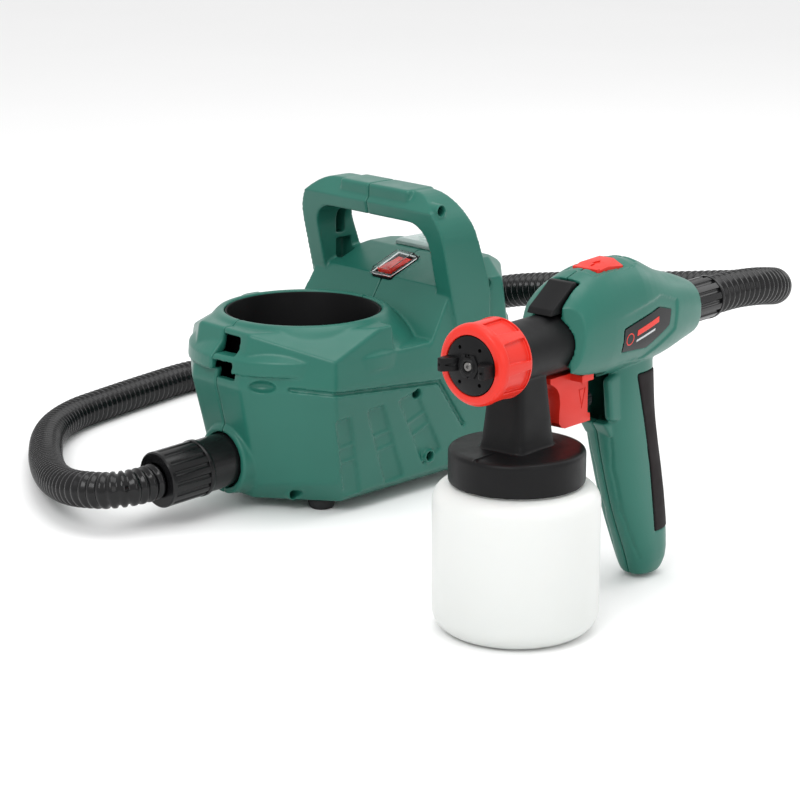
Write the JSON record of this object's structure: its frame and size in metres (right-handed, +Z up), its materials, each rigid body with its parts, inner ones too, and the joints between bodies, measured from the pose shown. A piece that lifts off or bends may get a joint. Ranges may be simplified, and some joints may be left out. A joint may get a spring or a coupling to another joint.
{
  "type": "paint sprayer with turbine base and spray gun",
  "caption": "Corded HVLP paint sprayer: a turbine base unit with a carrying handle and cup holder, joined by a corrugated air hose to a trigger spray gun standing on its screw-on paint cup.",
  "frame": {"origin": "middle of the base of the box round the base unit and the gun together, without the hose, on the surface that they stand on", "axes": "+X runs along the base unit from its nose to its tail, +Y runs from the gun to the base unit, +Z is up"},
  "size_m": [0.4529, 0.6676, 0.2264],
  "materials": {
    "green_plastic": "satin moulded plastic with a fine grain",
    "black_plastic": "satin black moulded plastic",
    "red_plastic": "satin orange-red moulded plastic",
    "milky_plastic": "milky translucent polyethylene",
    "hose_plastic": "glossy black corrugated hose",
    "grip_rubber": "soft moulded rubber",
    "black_rubber": "moulded rubber",
    "steel": "bright machined steel",
    "copper": "lacquered copper windings",
    "brass": "turned brass",
    "foam": "open-cell filter foam",
    "clear_plastic": "clear moulded plastic",
    "pale_plastic": "pale translucent plastic",
    "grey_plastic": "moulded grey plastic",
    "badge_black": "printed gloss panel"
  },
  "bodies": {
    "base_unit": {"unit_shell_near": "green_plastic", "unit_shell_far": "green_plastic", "cup_holder": "black_plastic", "outlet_duct": "grey_plastic", "fan_housing": "grey_plastic", "fan_cover": "grey_plastic", "motor_mount": "black_rubber", "motor_can": "steel", "bearing_lower": "steel", "bearing_upper": "steel", "brush_far": "foam", "brush_near": "foam", "switch_housing": "black_plastic", "switch_boot": "clear_plastic", "filter_pad": "foam", "cord_gland": "black_rubber", "foot_front_near": "black_rubber", "foot_front_far": "black_rubber", "foot_rear_near": "black_rubber", "foot_rear_far": "black_rubber", "unit_screw_1": "steel", "unit_screw_2": "steel", "unit_screw_3": "steel", "unit_screw_4": "steel", "unit_screw_5": "steel", "unit_cuff": "black_plastic", "hose_tube": "hose_plastic"},
    "rotor": {"motor_shaft": "steel", "armature": "copper", "impeller": "grey_plastic"},
    "rocker": {"switch_rocker": "red_plastic"},
    "filter_lid": {"filter_cover": "pale_plastic"},
    "gun": {"gun_shell_near": "green_plastic", "gun_shell_far": "green_plastic", "gun_screw_1": "steel", "gun_screw_2": "steel", "gun_screw_3": "steel", "grip_pad": "grip_rubber", "badge_near": "badge_black", "badge_far": "badge_black", "barrel_body": "black_plastic", "lock_tab": "black_plastic", "fluid_nozzle": "brass", "needle_packing": "foam", "needle_spring": "steel", "trigger_pin": "steel", "lid_gasket": "black_rubber", "pickup_tube": "milky_plastic", "check_valve": "grey_plastic", "hose_inlet": "black_plastic", "gun_cuff": "black_plastic"},
    "gun_trigger": {"trigger": "red_plastic"},
    "wheel": {"flow_wheel": "black_plastic"},
    "needle_rod": {"needle": "steel"},
    "ring": {"cap_ring": "red_plastic"},
    "cap": {"air_cap": "black_plastic"},
    "paint_cup": {"cup": "milky_plastic"},
    "button": {"lock_button": "red_plastic"}
  },
  "joints": [
    {"name": "gun_lift", "type": "slide", "parent": "base_unit", "child": "gun", "axis": [0, 0, 1], "range_m": [0, 0.12], "deforming": ["hose_tube"]},
    {"name": "trigger_pull", "type": "hinge", "parent": "gun", "child": "gun_trigger", "pos_m": [-0.05981, -0.16993, 0.2], "axis": [0.1097, -0.994, 0], "range_deg": [0, 12], "stiffness_Nm_per_rad": 0.4, "springref_deg": -34.38},
    {"name": "flow_wheel_turn", "type": "hinge", "parent": "gun_trigger", "child": "wheel", "pos_m": [-0.04391, -0.16817, 0.138], "axis": [0.994, 0.1097, 0], "range_deg": [0, 330]},
    {"name": "needle_slide", "type": "slide", "parent": "gun", "child": "needle_rod", "axis": [0.994, 0.1097, 0], "range_m": [0, 0.0041], "deforming": ["needle_spring"]},
    {"name": "cap_ring_turn", "type": "hinge", "parent": "gun", "child": "ring", "pos_m": [-0.13933, -0.1787, 0.181], "axis": [0.994, 0.1097, 0], "range_deg": [0, 330]},
    {"name": "air_cap_turn", "type": "hinge", "parent": "gun", "child": "cap", "pos_m": [-0.15424, -0.18035, 0.181], "axis": [0.994, 0.1097, 0], "range_deg": [0, 90]},
    {"name": "cup_turn", "type": "hinge", "parent": "gun", "child": "paint_cup", "pos_m": [-0.10951, -0.17541, 0.05], "axis": [0, 0, 1], "range_deg": [0, 60]},
    {"name": "lock_button_press", "type": "slide", "parent": "gun", "child": "button", "axis": [0, 0, -1], "range_m": [0, 0.0022], "stiffness_N_per_m": 400, "springref_m": -0.003},
    {"name": "switch_rock", "type": "hinge", "parent": "base_unit", "child": "rocker", "pos_m": [0.07853, 0.14359, 0.15759], "axis": [0, -1, 0], "range_deg": [0, 10]},
    {"name": "rotor_spin", "type": "hinge", "parent": "base_unit", "child": "rotor", "pos_m": [0.08999, 0.14359, 0.06], "axis": [0, 0, 1], "continuous": true},
    {"name": "filter_cover_lift", "type": "slide", "parent": "base_unit", "child": "filter_lid", "axis": [0, 0, 1], "range_m": [0, 0.03]}
  ],
  "couplings": [
    {"joint": "needle_slide", "follows": "trigger_pull", "m_per_rad": 0.019}
  ]
}
